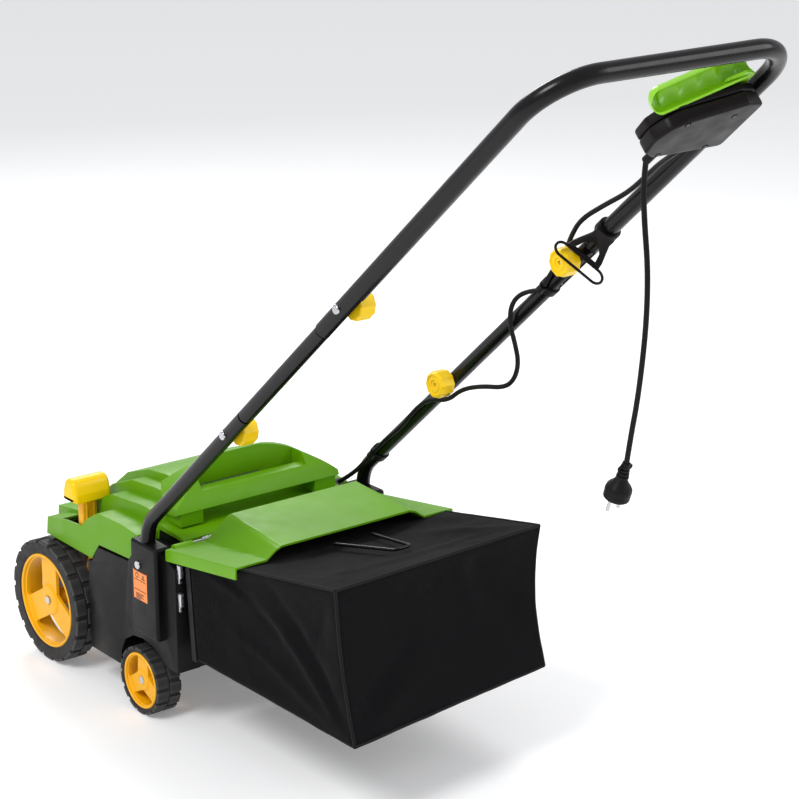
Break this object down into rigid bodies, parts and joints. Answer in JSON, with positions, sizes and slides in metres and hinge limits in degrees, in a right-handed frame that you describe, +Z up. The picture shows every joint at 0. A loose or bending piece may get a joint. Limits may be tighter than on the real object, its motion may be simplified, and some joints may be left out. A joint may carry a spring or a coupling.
{
  "type": "lawn dethatcher",
  "caption": "Electric lawn dethatcher with a spring reel in a wheeled deck, folding tube handle, bail lever, rear flap and mesh catcher bag.",
  "frame": {"origin": "on the ground below the middle of the bounding box", "axes": "+Z up, +Y back towards the operator, +X to the operator's left"},
  "size_m": [0.436, 1.2902, 1.1236],
  "materials": {
    "lime_plastic": "moulded, satin",
    "black_plastic": "moulded, fine grain",
    "charcoal_plastic": "moulded, fine grain",
    "yellow_plastic": "moulded",
    "orange_rim": "moulded",
    "bail_green": "moulded",
    "tyre_rubber": "hard tread",
    "black_tube": "powder coated, semi-gloss",
    "zinc_steel": "zinc plated",
    "chrome_bolt": "bright",
    "bag_fabric": "open mesh",
    "cord_rubber": "sheathed",
    "label_orange": "printed film",
    "plate_silver": "satin",
    "grey_plastic": "moulded",
    "copper_iron": "laminated core"
  },
  "bodies": {
    "chassis": {"deck": "black_plastic", "hood": "lime_plastic", "carry_handle": "lime_plastic", "rating_plate": "plate_silver", "side_sticker": "label_orange", "motor_housing": "grey_plastic", "drive_belt": "cord_rubber", "belt_cover": "black_plastic", "reel_bearings": "zinc_steel", "rear_axle": "zinc_steel", "flap_hinge_rod": "zinc_steel", "flap_springs": "zinc_steel", "lower_tube_left": "black_tube", "lower_tube_right": "black_tube", "lower_joint_bolts": "chrome_bolt", "post_bolts": "chrome_bolt", "lower_cable_clip": "black_plastic", "cable_gland": "grey_plastic", "motor_cable_lower": "cord_rubber"},
    "front_crank": {"front_crank_axle": "zinc_steel", "height_lever": "yellow_plastic"},
    "front_wheel_left": {"front_tyre_left": "tyre_rubber", "front_rim_left": "orange_rim"},
    "front_wheel_right": {"front_tyre_right": "tyre_rubber", "front_rim_right": "orange_rim"},
    "rear_wheel_left": {"rear_tyre_left": "tyre_rubber", "rear_rim_left": "orange_rim"},
    "rear_wheel_right": {"rear_tyre_right": "tyre_rubber", "rear_rim_right": "orange_rim"},
    "reel": {"reel_shaft": "zinc_steel", "reel_blades": "zinc_steel", "reel_spacers": "zinc_steel", "reel_pulley": "black_plastic"},
    "motor_rotor": {"motor_shaft": "copper_iron", "motor_fan": "black_plastic", "motor_pulley": "zinc_steel"},
    "rear_flap": {"rear_flap": "lime_plastic"},
    "bag": {"bag_frame": "black_plastic", "bag_mesh": "bag_fabric", "bag_wire": "black_tube"},
    "middle_tubes": {"middle_tube_left": "black_tube", "middle_tube_right": "black_tube", "upper_cable_clip": "black_plastic"},
    "upper_handle": {"upper_handle_tube": "black_tube", "upper_joint_bolts": "chrome_bolt", "switch_box_lower": "charcoal_plastic", "switch_box_upper": "charcoal_plastic", "box_screws": "zinc_steel", "cord_hook": "charcoal_plastic", "cord_relief": "cord_rubber", "mains_cord": "cord_rubber", "mains_plug": "cord_rubber", "plug_pins": "chrome_bolt", "motor_cable_upper": "cord_rubber"},
    "bail": {"bail_lever": "bail_green"},
    "lock_button": {"lock_button": "yellow_plastic"},
    "knob_lower_left": {"lower_knob_left": "yellow_plastic"},
    "knob_lower_right": {"lower_knob_right": "yellow_plastic"},
    "knob_upper_left": {"upper_knob_left": "yellow_plastic"},
    "knob_upper_right": {"upper_knob_right": "yellow_plastic"}
  },
  "joints": [
    {"name": "height_lever_turn", "type": "hinge", "parent": "chassis", "child": "front_crank", "pos_m": [0, -0.5027, 0.13], "axis": [1, 0, 0], "range_deg": [0, 15]},
    {"name": "front_wheel_left_spin", "type": "hinge", "parent": "front_crank", "child": "front_wheel_left", "pos_m": [0.195, -0.5477, 0.1], "axis": [1, 0, 0], "continuous": true},
    {"name": "front_wheel_right_spin", "type": "hinge", "parent": "front_crank", "child": "front_wheel_right", "pos_m": [-0.195, -0.5477, 0.1], "axis": [1, 0, 0], "continuous": true},
    {"name": "rear_wheel_left_spin", "type": "hinge", "parent": "chassis", "child": "rear_wheel_left", "pos_m": [0.187, -0.2807, 0.054], "axis": [1, 0, 0], "continuous": true},
    {"name": "rear_wheel_right_spin", "type": "hinge", "parent": "chassis", "child": "rear_wheel_right", "pos_m": [-0.187, -0.2807, 0.054], "axis": [1, 0, 0], "continuous": true},
    {"name": "reel_spin", "type": "hinge", "parent": "chassis", "child": "reel", "pos_m": [0, -0.4477, 0.067], "axis": [1, 0, 0], "continuous": true},
    {"name": "motor_spin", "type": "hinge", "parent": "chassis", "child": "motor_rotor", "pos_m": [0, -0.3977, 0.232], "axis": [1, 0, 0], "continuous": true},
    {"name": "rear_flap_hinge", "type": "hinge", "parent": "chassis", "child": "rear_flap", "pos_m": [0, -0.2097, 0.288], "axis": [1, 0, 0], "range_deg": [0, 40]},
    {"name": "bag_slide", "type": "slide", "parent": "chassis", "child": "bag", "axis": [0, 1, 0], "range_m": [0, 0.3]},
    {"name": "lower_fold", "type": "hinge", "parent": "chassis", "child": "middle_tubes", "pos_m": [0, -0.03025, 0.51659], "axis": [1, 0, 0], "range_deg": [0, 130], "deforming": ["motor_cable_lower"]},
    {"name": "upper_fold", "type": "hinge", "parent": "middle_tubes", "child": "upper_handle", "pos_m": [0, 0.23944, 0.75942], "axis": [1, 0, 0], "range_deg": [-100, 0], "deforming": ["motor_cable_upper"]},
    {"name": "knob_lower_left_turn", "type": "hinge", "parent": "chassis", "child": "knob_lower_left", "pos_m": [0.176, -0.03025, 0.51659], "axis": [1, 0, 0], "continuous": true},
    {"name": "knob_lower_right_turn", "type": "hinge", "parent": "chassis", "child": "knob_lower_right", "pos_m": [-0.176, -0.03025, 0.51659], "axis": [1, 0, 0], "continuous": true},
    {"name": "knob_upper_left_turn", "type": "hinge", "parent": "upper_handle", "child": "knob_upper_left", "pos_m": [0.176, 0.23944, 0.75942], "axis": [1, 0, 0], "continuous": true},
    {"name": "knob_upper_right_turn", "type": "hinge", "parent": "upper_handle", "child": "knob_upper_right", "pos_m": [-0.176, 0.23944, 0.75942], "axis": [1, 0, 0], "continuous": true},
    {"name": "bail_squeeze", "type": "hinge", "parent": "upper_handle", "child": "bail", "pos_m": [-0.165, 0.5575, 1.0485], "axis": [0, -0.6691, 0.7431], "range_deg": [0, 16], "stiffness_Nm_per_rad": 0.6, "springref_deg": -11.46},
    {"name": "lock_button_press", "type": "slide", "parent": "upper_handle", "child": "lock_button", "axis": [0, 0.6691, -0.7431], "range_m": [0, 0.0035], "stiffness_N_per_m": 300}
  ],
  "couplings": [
    {"joint": "motor_spin", "follows": "reel_spin", "ratio": 2}
  ]
}
